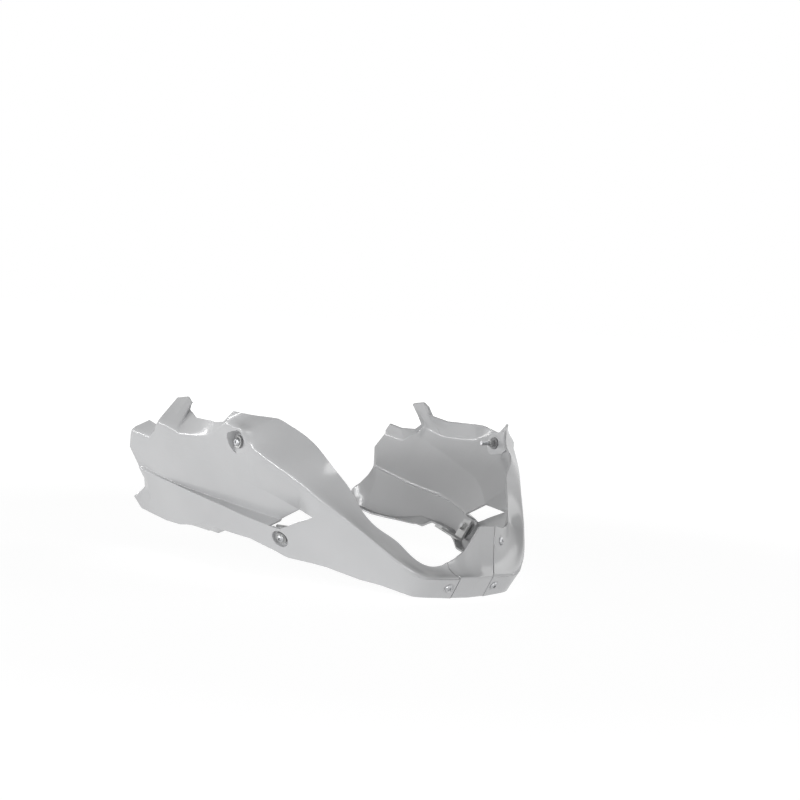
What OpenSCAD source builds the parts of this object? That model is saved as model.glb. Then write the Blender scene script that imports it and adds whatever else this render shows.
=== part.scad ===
// Motorcycle belly pan: two moulded side panels, a moulded front centre panel and their fixings.
// +X points forward, +Y to the rider's left and +Z up, all in millimetres.
// The origin lies under the middle of the pan, level with its lowest edge.

/* [Shell] */
// Wall thickness of the moulded panels
shell_t = 3; // [2.5:0.25:3.5]
// How far the tail end is folded in below the scoop
tail_fold_depth = 9; // [6:1:12]
// How far the lower edge is tucked down where the sump bulges
under_depth = 12; // [8:1:14]
// How far the lower edge is turned inwards
return_w = 13; // [8:1:18]

/* [Flank] */
// Half width of the flank plane at the middle of the pan, on the ground line
flank_half = 155; // [145:1:165]
// Plan angle by which each flank narrows towards the nose
flank_rake = 17.5; // [16:0.5:19]
// Angle by which each flank leans outwards going up
flank_lean = 30; // [27:0.5:32]
// Half width at the tail, on the lower edge
tail_half = 195; // [188:1:205]
// Lean of the tail stretch of each flank
tail_lean = 19; // [16:1:22]
// Softness of the bend between flank and tail stretch
bend_soft = 26; // [16:2:40]
// How much lower the left panel's corner is ahead of the notch
left_corner_drop = 12; // [8:1:14]

/* [Nose] */
// Distance of the nose crease ahead of the origin
nose_x = 268; // [262:1:274]
// Height of the nose crease
nose_crease_z = 30; // [27:1:34]
// Plan angle of each half of the nose
nose_rake = 8.8; // [6:0.2:12]
// Angle by which the nose face tucks under the crease
nose_lean = 32; // [26:1:36]
// Reach of the rounded corner between flank and nose
nose_round = 30; // [24:1:34]
// Half width of the centre panel at the crease
seam_half = 27; // [24:1:30]
// Clearance between the centre panel and each side panel
seam_gap = 1; // [0.6:0.1:1.4]
// Height of the raised tongue of the centre panel
tongue_z = 92; // [84:1:98]

/* [Scoop] */
// Depth of the scoop's foot at its front end
scoop_depth = 18; // [12:1:20]
// Depth of the style line at the same end
style_depth = 17.5; // [11:0.5:19]

/* [Side fixings] */
// Forward place of the upper side screw
upper_x = 35; // [34:0.5:36]
// Height of the upper side screw
upper_z = 180; // [179:0.5:181]
// Depth of the pocket round the upper screw
pocket_depth = 13; // [11:1:16]
// Forward place of the lower side screw
lower_x = 60; // [56:1:63]
// Height of the lower side screw
lower_z = 55; // [54:1:58]
// Diameter of the round recess at the lower screw
recess_d = 24.5; // [23:0.5:25]
// Depth of the round recess at the lower screw
recess_depth = 5.5; // [5:0.5:7]
// Outer diameter of the rubber grommets
grommet_d = 17; // [16:0.5:18]
// Diameter of the grommet's neck, which sits in the panel
neck_d = 13; // [12:0.5:14]
// Outer diameter of the metal bushes
bush_d = 9; // [8.5:0.25:10]
// Thread diameter of the side screws
side_screw_d = 6; // [5:0.5:6]
// Length of thread beyond the upper bush
stud_len = 14; // [10:1:20]
// Diameter of the engine bolt hole in each bracket
bracket_hole_d = 8.5; // [6.5:0.5:9]
// Thickness of the steel brackets
bracket_t = 3; // [2.5:0.5:4]

/* [Seam fixings] */
// Thread diameter of the seam screws
seam_screw_d = 5; // [4:0.5:5]
// Diameter of the seam screws' heads
seam_head_d = 11; // [10:0.5:12]

/* [Hidden] */

panel_colour = [0.49, 0.49, 0.5];
steel_colour = [0.62, 0.63, 0.65];
zinc_colour = [0.45, 0.46, 0.48];
rubber_colour = [0.13, 0.13, 0.14];
fit_gap = 0.3;
tail_x = -268;
tail_z = 70;
tail_rake = 1.1;

// Stations run along the outer skin: equal to x as far as the nose corner, then round it to the seam.
wrap_s = 225;
wrap_len = 52;
seam_s = 312;
// Top stations between which the vent lies
vent_s = [126, 160];
// Where the style line and the scoop's foot start to sink, are deepest and meet the skin again
style_s = [-158, 96, 128];
foot_s = [-231, 57, 97];

// Height of the crease and of the notched top edge behind it, as [station, height]
top_line = [[-228, 172], [-181, 166], [-158, 179], [-150, 187], [-145, 191], [-91, 178], [-22, 178],
    [-9, 183], [20, 199], [29, 202], [57, 200], [61, 196], [64, 183], [69, 175], [91, 160], [144, 123],
    [196, 85], [228, 57], [247, 41], [265, nose_crease_z], [seam_s, nose_crease_z]];
// The thin style line, the foot of the scoop, its lip and the lower edge: [top station, own station]
style_shift = [[-228, -244], [-145, style_s[0]], [vent_s[0], style_s[1]], [vent_s[1], style_s[2]],
    [seam_s, seam_s]];
foot_shift = [[-228, foot_s[0]], [vent_s[0], foot_s[1]], [vent_s[1], foot_s[2]], [seam_s, seam_s]];
lip_shift = [[-228, foot_s[0]], [vent_s[0], 50], [vent_s[1], 66], [seam_s, seam_s]];
edge_shift = [[-228, tail_x], [-215, -254], [vent_s[0], 28], [vent_s[1], 55], [seam_s, seam_s]];
// The same four lines as [own station, height]
style_line = [[-244, 147], [-190, 152], [style_s[0], 175], [-103, 160], [-61, 148], [-21, 135], [31, 120],
    [66, 105], [style_s[1], 89], [style_s[2], 92], [200, 58], [240, 27], [seam_s, 24]];
foot_line = [[foot_s[0], 121], [-180, 111], [-134, 102], [-44, 91], [10, 81], [foot_s[1], 71], [foot_s[2], 81],
    [200, 43], [240, 20], [seam_s, 18]];
lip_line = [[foot_s[0], 117], [-124, 103], [-30, 90], [22, 78], [66, 69], [110, 59], [200, 33], [240, 15],
    [seam_s, 13]];
edge_line = [[tail_x, 73], [-254, 57], [-189, 48], [-150, 47], [-102, 55], [-84, 58], [-42, 54], [8, 49], [41, 38],
    [59, 30], [101, 27], [118, 25], [163, 15], [193, 12], [221, 6], [241, 3], [seam_s, 0]];
// The left panel's corner ahead of the notch is lower, to clear the generator cover
left_top_line = [for (p = top_line) p[0] > 0 && p[0] < 64 ? p - [0, left_corner_drop] : p];
// Free upper edge of the panel, as [top station, forward, outward, up] from the crease at that station
flange_edge = [[-228, 3, -5, 5], [-208, 5, -14, 19], [-181, 3, -11, 18], [-158, 1, -6, 5], [-150, 1, -4, 5],
    [-145, 2, -29, 34], [-118, 2, -28, 44], [-104, 0, -26, 40], [-98, -9, -25, 31], [-91, 17, -13, 25],
    [-22, 0, -3, 25], [20, 2, -3, 6], [29, 11, -6, 18], [57, 10, -30, 16], [62, 24, -46, 22], [68, 35, -51, 26],
    [91, 31, -50, 28], [112, 25, -41, 29], [130, 16, -36, 27], [144, 2, -36, 28], [160, 0, -34, 23],
    [182, -5, -28, 8], [204, -14, -22, 9]];
// Its last stretch is low on the right, where the exhaust leaves, and high on the left
low_edge = [[228, -23, -30, 13], [240, -23, -26, 9], [250, -22, -23, 8], [262, -22, -18, 9],
    [280, -23, -11, 10], [298, -21, -2, 13], [seam_s, -20, 8, 17]];
high_edge = [[228, -16, -24, 29], [247, -18, -23, 46], [270, -20, -10, 58], [290, -17, -1, 60],
    [seam_s, -16, 12, tongue_z - nose_crease_z]];

right_edge = [top_line, concat(flange_edge, low_edge)];
left_edge = [left_top_line, concat([for (p = flange_edge)
    p[0] > 0 && p[0] < 64 ? p + [0, 0, left_corner_drop * tan(flank_lean), 0] :
    p[0] > 64 && p[0] < 100 ? p - [0, 0, 0, left_corner_drop] : p], high_edge)];

function mix(a, b, t) = a + (b - a) * t;
function soft_min(a, b, k) = let (h = max(k - abs(a - b), 0) / k) min(a, b) - h * h * k / 4;
function row_at(table, s) = let (n = len(table) - 1)
    s <= table[0][0] ? table[0] : s >= table[n][0] ? table[n] :
    let (k = [for (i = [0:n - 1]) if (table[i][0] <= s && s < table[i + 1][0]) i][0],
        t = (s - table[k][0]) / (table[k + 1][0] - table[k][0])) mix(table[k], table[k + 1], t);

// Outer skin of a flank: the plane of the flank, softly cut by the plane of the tail stretch
function flank_y(x, z) = flank_half - x * tan(flank_rake) + z * tan(flank_lean);
function tail_y(x, z) = tail_half + (z - tail_z) * tan(tail_lean) + (x - tail_x) * tan(tail_rake);
function side_y(x, z) = soft_min(flank_y(x, z), tail_y(x, z), bend_soft);

// Plan corner of the flank plane and the nose plane at height z
function tuck(z) = min(z - nose_crease_z, 0) * tan(nose_lean);
function corner_x(z) = (nose_x + tuck(z) - tan(nose_rake) * (flank_half + z * tan(flank_lean)))
    / (1 - tan(nose_rake) * tan(flank_rake));
function corner(z) = [corner_x(z), flank_y(corner_x(z), z)];
function nose_dir() = [sin(nose_rake), -cos(nose_rake)];
function curve(a, b, c, t) = a * (1 - t) * (1 - t) + b * 2 * t * (1 - t) + c * t * t;
function wrap_end(z) = corner(z) + nose_round * nose_dir();
function nose_run(z, y) = wrap_end(z) + nose_dir() * (wrap_end(z)[1] - y) / cos(nose_rake);
function skin_xy(s, z) = s <= wrap_s ? [s, side_y(s, z)] :
    s <= wrap_s + wrap_len ?
        curve([wrap_s, side_y(wrap_s, z)], corner(z), wrap_end(z), (s - wrap_s) / wrap_len) :
        mix(wrap_end(z), nose_run(z, seam_half + seam_gap), (s - wrap_s - wrap_len) / (seam_s - wrap_s - wrap_len));
function skin(s, z) = let (p = skin_xy(s, z)) [p[0], p[1], z];
function skin_normal(s, z) = let (e = 1, u = skin(s + e, z) - skin(s - e, z), v = skin(s, z + e) - skin(s, z - e),
    c = cross(v, u)) c / norm(c);

// Level direction into the pan: square to the flank, and straight back at the nose
function inward(s, z) = let (n = skin_normal(s, z), d = [-n[0], -n[1], 0] / norm([n[0], n[1]]))
    mix(d, [-1, 0, 0], min(max((s - wrap_s) / wrap_len, 0), 1));
return_rise = 1;

// Rows of the panel surface, counted from the free upper edge down to the turned lower edge
fin_rows = 5;
face_rows = 3;
scoop_rows = 4;
lip_rows = 2;
skirt_rows = 3;
row_count = fin_rows + face_rows + scoop_rows + lip_rows + skirt_rows + 1;
foot_row = fin_rows + face_rows + scoop_rows;
face_row = fin_rows + face_rows;

// Depth of the style line and of the scoop's foot below the skin, by their own stations
function style_in(s) = row_at([[style_s[0], 0], [style_s[1], style_depth], [style_s[2], 0]], s)[1];
function foot_in(s) = row_at([[foot_s[0], 0], [foot_s[1], scoop_depth], [foot_s[2], 0]], s)[1];
function top_point(s, edge) = skin(s, row_at(edge[0], s)[1]);
function line_point(shift, line, s) = let (q = row_at(shift, s)[1]) [q, row_at(line, q)[1]];
function free_edge(s, edge) = let (r = row_at(edge[1], s)) top_point(s, edge) + [r[1], r[2], r[3]];
// A fin row bends back first and rises after it, so that the nose has a hollow face over the crease
hollow_s = 130;
hollow_len = 100;
hollow_most = 0.85;
hollow_rise = 0.12;
function hollow_mid(a, c, share) = mix((a + c) / 2, [a[0], a[1], mix(c[2], a[2], hollow_rise)], share);
function fin_point(s, edge, t) = let (a = free_edge(s, edge), c = top_point(s, edge),
    mid = hollow_mid(a, c, min(max((s - hollow_s) / hollow_len, 0), hollow_most))) curve(a, mid, c, t);
scoop_power = 2.4;
function between(a, b, t) = skin(mix(a[0], b[0], t), mix(a[1], b[1], t));
function sunk(a, b, t, depth) = let (q = mix(a, b, t)) skin(q[0], q[1]) - skin_normal(q[0], q[1]) * depth;
// The tail end is folded in below the scoop, and the lower edge is tucked under where the sump bulges
fold_from = -244;
fold_len = 28;
sump_x = [-150, -90, -67, -42];
function tail_fold(q, t) = tail_fold_depth * max(0, 1 - (q[0] - fold_from) / fold_len) * 4 * t * (1 - t);
function under_drop(x) = under_depth * row_at([[sump_x[0], 0], [sump_x[1], 1], [sump_x[2], 1], [sump_x[3], 0]], x)[1];
function skirt_point(lip, low, t) = let (q = skin(mix(lip[0], low[0], pow(t, 3)), mix(lip[1], low[1], t)),
    n = skin_normal(q[0], q[2])) q - n * (q[0] < wrap_s ? tail_fold(q, t) : 0);
function panel_point(s, j, edge) = let (
        style = line_point(style_shift, style_line, s), foot = line_point(foot_shift, foot_line, s),
        lip = line_point(lip_shift, lip_line, s), low = line_point(edge_shift, edge_line, s),
        top = [s, row_at(edge[0], s)[1]])
    j < fin_rows ? fin_point(s, edge, j / fin_rows) :
    j <= face_row ? let (t = (j - fin_rows) / face_rows) sunk(top, style, t, style_in(style[0]) * t) :
    j <= foot_row ? let (t = (j - face_row) / scoop_rows)
        sunk(style, foot, t, mix(style_in(style[0]), foot_in(foot[0]), pow(t, scoop_power))) :
    j < foot_row + lip_rows ? let (t = (j - foot_row) / lip_rows) sunk(foot, lip, t, foot_in(foot[0]) * (1 - t)) :
    j < row_count ? let (t = (j - foot_row - lip_rows) / skirt_rows)
        low[0] < 0 ? skirt_point(lip, low, t) : between(lip, low, t) :
    skin(low[0], low[1]) + inward(low[0], low[1]) * return_w + [0, 0, return_rise - under_drop(low[0])];

// Columns stand at every corner of the top line, with more of them in the long stretches
col_step = 15;
function refine(list) = [for (i = [0:len(list) - 2])
    let (n = max(1, ceil((list[i + 1] - list[i]) / col_step)))
        for (k = [0:n - 1]) mix(list[i], list[i + 1], k / n), list[len(list) - 1]];
col_keys = [-228, -208, -181, -158, -150, -145, -118, -104, -98, -91, -22, -9, 20, 29, 57, 61, 64, 69, 91,
    112, 126, 144, 160, 182, 196, 204, 216, 228, 237, 247, 256, 265, 272, 280, 298, seam_s];
cols = refine(col_keys);

// A walled sheet over a grid of points: the same grid moved inwards by the wall, and closed all round
function grid_normal(g, i, j) = let (
        u = g[min(i + 1, len(g) - 1)][j] - g[max(i - 1, 0)][j],
        v = g[i][min(j + 1, len(g[0]) - 1)] - g[i][max(j - 1, 0)],
        c = cross(u, v)) c / norm(c);
module walled_sheet(g, open_cells, t) {
    ni = len(g);
    nj = len(g[0]);
    outer = [for (i = [0:ni - 1]) for (j = [0:nj - 1]) g[i][j]];
    inner = [for (i = [0:ni - 1]) for (j = [0:nj - 1]) g[i][j] - grid_normal(g, i, j) * t];
    n = ni * nj;
    function solid_cell(i, j) = i >= 0 && j >= 0 && i < ni - 1 && j < nj - 1
        && len([for (c = open_cells) if (c[0] == i && c[1] == j) 1]) == 0;
    function id(i, j) = i * nj + j;
    // Each cell is split along its shorter diagonal, on both sides alike
    faces = [for (i = [0:ni - 2]) for (j = [0:nj - 2]) if (solid_cell(i, j))
        let (a = id(i, j), b = id(i + 1, j), c = id(i + 1, j + 1), d = id(i, j + 1))
        each concat(
            norm(outer[a] - outer[c]) < norm(outer[b] - outer[d]) ?
                [[a, c, b], [a, d, c], [n + a, n + b, n + c], [n + a, n + c, n + d]] :
                [[a, d, b], [d, c, b], [n + a, n + b, n + d], [n + b, n + c, n + d]],
            solid_cell(i, j - 1) ? [] : [[a, n + b, n + a], [a, b, n + b]],
            solid_cell(i + 1, j) ? [] : [[b, n + c, n + b], [b, c, n + c]],
            solid_cell(i, j + 1) ? [] : [[c, n + d, n + c], [c, d, n + d]],
            solid_cell(i - 1, j) ? [] : [[d, n + a, n + d], [d, a, n + a]])];
    polyhedron(points = concat(outer, inner), faces = faces, convexity = 8);
}

// The vent opening lies between the front end of the scoop and its front lip
function vent_cells() = [for (i = [0:len(cols) - 2]) if (cols[i] >= vent_s[0] && cols[i] < vent_s[1])
    for (j = [face_row:foot_row + lip_rows - 1]) [i, j]];

module side_shell(edge) {
    walled_sheet([for (s = cols) [for (j = [0:row_count]) panel_point(s, j, edge)]], vent_cells(), shell_t);
}

// Fixings are drawn in a frame of their own: the axis points out of the panel, and 0 is the panel's face
upper_y = side_y(upper_x, upper_z) - pocket_depth;
upper_axis = [0, 1, 0];
lower_axis = skin_normal(lower_x, lower_z);
lower_pos = skin(lower_x, lower_z) - lower_axis * recess_depth;
module on_axis(pos, axis) {
    translate(pos) rotate([0, acos(axis[2]), atan2(axis[1], axis[0])]) children();
}
module upper_place() {
    on_axis([upper_x, upper_y, upper_z], upper_axis) children();
}
module lower_place() {
    on_axis(lower_pos, lower_axis) children();
}

flange_h = 1.8;
washer_h = 1.5;
washer_d = 16;
head_h = 3.3;
head_d = 11;
grommet_h = 2 * flange_h + shell_t;
upper_bush_h = 16;
lower_bush_h = 10;
neck_hole_d = neck_d + 2 * fit_gap;
bush_hole_d = side_screw_d + 2 * fit_gap;

// Button head with a hexagon socket over a plain thread; the underside of the head is at 0.
// A long screw has a thinner shank above its thread.
module button_screw(d, dh, hh, length, shank_len) {
    difference() {
        union() {
            rotate_extrude($fn = 48) polygon([[0, 0], [dh / 2, 0], [dh / 2, hh * 0.35], [dh * 0.44, hh * 0.72],
                [dh * 0.32, hh], [0, hh]]);
            translate([0, 0, -length]) cylinder(d = d, h = length - shank_len + 0.1, $fn = 40);
            translate([0, 0, -length]) cylinder(d = shank_len > 0 ? d * 0.9 : d, h = length + 0.5, $fn = 40);
        }
        translate([0, 0, hh * 0.4]) cylinder(d = dh * 0.42, h = hh, $fn = 6);
    }
}
module ring(d, hole, h) {
    difference() {
        cylinder(d = d, h = h, $fn = 48);
        translate([0, 0, -1]) cylinder(d = hole, h = h + 2, $fn = 48);
    }
}
module grommet() {
    difference() {
        union() {
            cylinder(d = grommet_d, h = flange_h, $fn = 48);
            translate([0, 0, -shell_t - flange_h]) cylinder(d = grommet_d, h = flange_h, $fn = 48);
            translate([0, 0, -shell_t - flange_h / 2]) cylinder(d = neck_d, h = shell_t + flange_h, $fn = 48);
        }
        translate([0, 0, -shell_t - flange_h - 1]) cylinder(d = bush_d + fit_gap, h = grommet_h + 2, $fn = 48);
    }
}
module bush(length) {
    translate([0, 0, flange_h - length]) ring(bush_d, bush_hole_d, length);
}
module side_washer() {
    translate([0, 0, flange_h]) ring(washer_d, bush_hole_d, washer_h);
}
module side_screw(length, shank_len) {
    translate([0, 0, flange_h + washer_h]) button_screw(side_screw_d, head_d, head_h, length, shank_len);
}
upper_screw_len = washer_h + upper_bush_h + stud_len;
lower_screw_len = washer_h + lower_bush_h + bracket_t + 5;

// The pocket round the upper screw, in x and z: rounded at the back and pointed at the top front
pocket_x = 42;
pocket_z = 181;
pocket_shape = [[-14, 10], [-2, 13], [12, 16], [17, 13], [19, 6], [17, -7], [6, -14], [-8, -18], [-16, -15],
    [-20, -7], [-19, 3]];
pocket_wall = 2.5;
function grown(shape, by) = [for (p = shape) p + by * p / norm(p)];
module pocket_prism(by, from, to) {
    translate([pocket_x, from, pocket_z]) rotate([90, 0, 0]) mirror([0, 0, 1])
        linear_extrude(height = to - from) polygon(grown(pocket_shape, by));
}
// Everything outside the skin at the pocket, less half a wall so that the cup stays under the skin
module outside_skin() {
    axis = skin_normal(pocket_x, pocket_z);
    on_axis(skin(pocket_x, pocket_z) - axis * shell_t / 2, axis) translate([-60, -60, 0]) cube([120, 120, 80]);
}
module neck_hole() {
    translate([0, 0, -shell_t - 1]) cylinder(d = neck_hole_d, h = 20, $fn = 48);
}
module fixed_shell(edge) {
    difference() {
        union() {
            difference() {
                side_shell(edge);
                pocket_prism(0, upper_y, upper_y + 60);
                lower_place() cylinder(d = recess_d, h = 40, $fn = 64);
            }
            difference() {
                pocket_prism(pocket_wall, upper_y - shell_t, upper_y + 40);
                pocket_prism(0, upper_y, upper_y + 60);
                outside_skin();
            }
            lower_place() difference() {
                translate([0, 0, -shell_t])
                    cylinder(d = recess_d + 2 * pocket_wall, h = recess_depth + shell_t / 2, $fn = 64);
                cylinder(d = recess_d, h = 40, $fn = 64);
            }
        }
        upper_place() neck_hole();
        lower_place() neck_hole();
    }
}

// Steel bracket behind the lower screw: a plate with a welded nut, and a leg bent inwards to the engine
bracket_half = 13;
bracket_up = 11;
bracket_down = 21;
bracket_leg = 34;
leg_hole_in = 22;
nut_across = 10;
nut_h = 5;
module bracket() {
    lower_place() translate([0, 0, flange_h - lower_bush_h - bracket_t]) difference() {
        union() {
            translate([-bracket_up, -bracket_half, 0]) cube([bracket_up + bracket_down, 2 * bracket_half, bracket_t]);
            translate([bracket_down - bracket_t, -bracket_half, -bracket_leg])
                cube([bracket_t, 2 * bracket_half, bracket_leg + 1]);
            translate([0, 0, -nut_h]) cylinder(d = nut_across / cos(30), h = nut_h + 1, $fn = 6);
        }
        translate([0, 0, -nut_h - 1]) cylinder(d = bush_hole_d, h = nut_h + bracket_t + 2, $fn = 40);
        translate([bracket_down - bracket_t - 1, 0, -leg_hole_in]) rotate([0, 90, 0])
            cylinder(d = bracket_hole_d, h = bracket_t + 2, $fn = 40);
    }
}

// Seam screws: two through the nose face and one through the left panel's front band
nose_screw_in = 10;
nose_screw_y = seam_half + seam_gap + nose_screw_in;
nose_screw_z = nose_crease_z / 2;
seam_screw_s = 274;
seam_screw_t = 0.2;
seat_depth = 0.6;
seam_hole_d = seam_screw_d + 2 * fit_gap;
tab_depth = shell_t + fit_gap;
tab_t = 3;
pad_t = 1.6;
// The screw stands on the plane of the nose face, square to it
nose_screw_pos = [nose_x + tuck(nose_screw_z) - nose_screw_y * tan(nose_rake), nose_screw_y, nose_screw_z];
nose_face = [1, tan(nose_rake), -tan(nose_lean)];
nose_screw_axis = nose_face / norm(nose_face);
function band_point(s, t) = fin_point(s, left_edge, t);
function band_normal(s, t) = let (c = cross(band_point(s - 2, t) - band_point(s + 2, t),
    band_point(s, t - 0.05) - band_point(s, t + 0.05))) c / norm(c);
module nose_place() {
    on_axis(nose_screw_pos, nose_screw_axis) children();
}
module seam_place() {
    on_axis(band_point(seam_screw_s, seam_screw_t), band_normal(seam_screw_s, seam_screw_t)) children();
}
module seam_hole() {
    translate([0, 0, -12]) cylinder(d = seam_hole_d, h = 24, $fn = 40);
}
// A shallow round seat for the head, sunk into the panel
module seam_seat() {
    seam_hole();
    translate([0, 0, -seat_depth]) cylinder(d = seam_head_d + 3, h = 12, $fn = 48);
}

module left_side_panel() {
    color(panel_colour) difference() {
        fixed_shell(left_edge);
        nose_place() seam_seat();
        seam_place() seam_seat();
    }
}

module right_side_panel() {
    color(panel_colour) mirror([0, 1, 0]) difference() {
        fixed_shell(right_edge);
        nose_place() seam_seat();
    }
}

// The centre panel: across from the left seam (1) to the right seam (0)
centre_cols = 12;
centre_rows = 6;
nose_rows = 2;
// Its upper edge as [share across, forward, sideways, up] from the crease, low at the right seam and rising
// to the tongue on the left
tongue_rise = tongue_z - nose_crease_z;
tongue_edge = [[0, -21, -7, 16], [0.18, -19, -5, 23], [0.34, -21, -1, 30], [0.5, -21, 1, 45],
    [0.66, -19, 4, tongue_rise], [1, -16, 11, tongue_rise]];
function centre_y(u) = mix(-seam_half, seam_half, u);
function centre_bottom(y) = [nose_x + tuck(0) - abs(y) * tan(nose_rake), y, 0];
function centre_crease(y) = [nose_x - abs(y) * tan(nose_rake), y, nose_crease_z];
function centre_rise(u, t) = let (c = centre_crease(centre_y(u)), r = row_at(tongue_edge, u),
    a = c + [r[1], r[2], r[3]]) curve(a, hollow_mid(a, c, hollow_most), c, t);
function centre_point(u, j) = let (y = centre_y(u))
    j < centre_rows ? centre_rise(u, j / centre_rows) :
    j <= centre_rows + nose_rows ? mix(centre_crease(y), centre_bottom(y), (j - centre_rows) / nose_rows) :
    centre_bottom(y) + [-return_w, 0, return_rise];

// Tabs of the centre panel reach behind the side panels and carry the clip nuts
tab_half = 9;
tab_out = 10;
tab_lap = 9;
root_w = 8;
root_sink = 1.2;
module nose_tab() {
    inner = -nose_screw_in - seam_gap - tab_lap;
    nose_place() {
        translate([-tab_half, inner, -tab_depth - tab_t]) cube([2 * tab_half, tab_out - inner, tab_t]);
        translate([-tab_half, inner, -tab_depth - tab_t])
            cube([2 * tab_half, root_w, tab_t + fit_gap + root_sink]);
    }
}
tab_rows = [0.04, 0.12, 0.2, 0.28, 0.36];
pad_size = [14, 16];
module seam_tab() {
    grid = [for (s = [262, 268, 274, 280, 290, 300, seam_s]) [for (t = tab_rows)
        band_point(s, t) - band_normal(min(s, seam_s - 3), t) * (tab_depth + fit_gap)]];
    under = [for (u = [0.93, 0.84, 0.75]) [for (t = tab_rows)
        centre_rise(u, t) - band_normal(seam_s - 3, t) * (shell_t - 1)]];
    walled_sheet(concat(grid, under), [], tab_t);
    seam_place() translate([-pad_size[0] / 2, -pad_size[1] / 2, -tab_depth - tab_t - pad_t])
        cube([pad_size[0], pad_size[1], tab_t]);
}
module front_center_panel() {
    color(panel_colour) difference() {
        union() {
            walled_sheet([for (i = [0:centre_cols]) [for (j = [0:centre_rows + nose_rows + 1])
                centre_point(1 - i / centre_cols, j)]], [], shell_t);
            nose_tab();
            mirror([0, 1, 0]) nose_tab();
            seam_tab();
        }
        nose_place() seam_hole();
        mirror([0, 1, 0]) nose_place() seam_hole();
        seam_place() seam_hole();
    }
}

seam_screw_h = 3;
seam_screw_len = 16;
module seam_screw() {
    translate([0, 0, -seat_depth]) button_screw(seam_screw_d, seam_head_d, seam_screw_h, seam_screw_len, 0);
}
// Clip nut behind a tab: a thin plate with a threaded sleeve; its front face is at 0
clip_size = [12, 14, 1.5];
sleeve_d = 9;
sleeve_len = 6;
module clip_nut() {
    difference() {
        union() {
            translate([-clip_size[0] / 2, -clip_size[1] / 2, -clip_size[2]]) cube(clip_size);
            translate([0, 0, -sleeve_len]) cylinder(d = sleeve_d, h = sleeve_len - clip_size[2] / 2, $fn = 40);
        }
        translate([0, 0, -sleeve_len - 1]) cylinder(d = seam_hole_d, h = sleeve_len + 2, $fn = 40);
    }
}

module nose_screw_left() {
    color(steel_colour) nose_place() seam_screw();
}
module nose_screw_right() {
    mirror([0, 1, 0]) nose_screw_left();
}
module seam_screw_left() {
    color(steel_colour) seam_place() seam_screw();
}
module nose_clip_nut_left() {
    color(zinc_colour) nose_place() translate([0, 0, -tab_depth - tab_t]) clip_nut();
}
module nose_clip_nut_right() {
    mirror([0, 1, 0]) nose_clip_nut_left();
}
module seam_clip_nut_left() {
    color(zinc_colour) seam_place() translate([0, 0, -tab_depth - tab_t - pad_t]) clip_nut();
}
module upper_screw_left() {
    color(steel_colour) upper_place() side_screw(upper_screw_len, washer_h + upper_bush_h);
}
module upper_screw_right() {
    mirror([0, 1, 0]) upper_screw_left();
}
module upper_washer_left() {
    color(zinc_colour) upper_place() side_washer();
}
module upper_washer_right() {
    mirror([0, 1, 0]) upper_washer_left();
}
module upper_grommet_left() {
    color(rubber_colour) upper_place() grommet();
}
module upper_grommet_right() {
    mirror([0, 1, 0]) upper_grommet_left();
}
module upper_bush_left() {
    color(zinc_colour) upper_place() bush(upper_bush_h);
}
module upper_bush_right() {
    mirror([0, 1, 0]) upper_bush_left();
}
module lower_screw_left() {
    color(steel_colour) lower_place() side_screw(lower_screw_len, 0);
}
module lower_screw_right() {
    mirror([0, 1, 0]) lower_screw_left();
}
module lower_washer_left() {
    color(zinc_colour) lower_place() side_washer();
}
module lower_washer_right() {
    mirror([0, 1, 0]) lower_washer_left();
}
module lower_grommet_left() {
    color(rubber_colour) lower_place() grommet();
}
module lower_grommet_right() {
    mirror([0, 1, 0]) lower_grommet_left();
}
module lower_bush_left() {
    color(zinc_colour) lower_place() bush(lower_bush_h);
}
module lower_bush_right() {
    mirror([0, 1, 0]) lower_bush_left();
}
module bracket_left() {
    color(zinc_colour) bracket();
}
module bracket_right() {
    mirror([0, 1, 0]) bracket_left();
}

right_side_panel();
left_side_panel();
front_center_panel();
nose_screw_right();
nose_screw_left();
seam_screw_left();
nose_clip_nut_right();
nose_clip_nut_left();
seam_clip_nut_left();
upper_screw_right();
upper_screw_left();
upper_washer_right();
upper_washer_left();
upper_grommet_right();
upper_grommet_left();
upper_bush_right();
upper_bush_left();
lower_screw_right();
lower_screw_left();
lower_washer_right();
lower_washer_left();
lower_grommet_right();
lower_grommet_left();
lower_bush_right();
lower_bush_left();
bracket_right();
bracket_left();
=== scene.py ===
"""A motorcycle belly pan, dressed for its picture: moulded panels, fixings, a pale floor and soft light."""
import math

import bpy
import numpy as np
from mathutils import Matrix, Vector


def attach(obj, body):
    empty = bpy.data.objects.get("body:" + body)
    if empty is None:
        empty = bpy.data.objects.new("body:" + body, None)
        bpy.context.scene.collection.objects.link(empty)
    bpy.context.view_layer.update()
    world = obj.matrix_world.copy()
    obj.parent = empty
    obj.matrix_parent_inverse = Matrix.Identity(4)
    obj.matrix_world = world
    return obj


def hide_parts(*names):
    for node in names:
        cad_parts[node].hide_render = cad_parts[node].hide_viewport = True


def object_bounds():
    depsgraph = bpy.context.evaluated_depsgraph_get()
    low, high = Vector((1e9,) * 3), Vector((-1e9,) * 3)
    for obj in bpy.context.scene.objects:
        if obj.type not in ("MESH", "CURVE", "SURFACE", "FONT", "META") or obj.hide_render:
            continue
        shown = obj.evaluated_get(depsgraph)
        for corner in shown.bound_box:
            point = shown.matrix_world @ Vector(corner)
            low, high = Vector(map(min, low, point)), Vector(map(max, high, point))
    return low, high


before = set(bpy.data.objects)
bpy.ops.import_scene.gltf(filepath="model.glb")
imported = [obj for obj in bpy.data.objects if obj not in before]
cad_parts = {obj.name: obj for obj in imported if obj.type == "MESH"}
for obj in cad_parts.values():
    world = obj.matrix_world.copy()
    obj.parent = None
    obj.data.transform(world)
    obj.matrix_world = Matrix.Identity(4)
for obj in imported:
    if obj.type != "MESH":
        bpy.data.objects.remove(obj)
cad_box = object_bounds()

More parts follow.
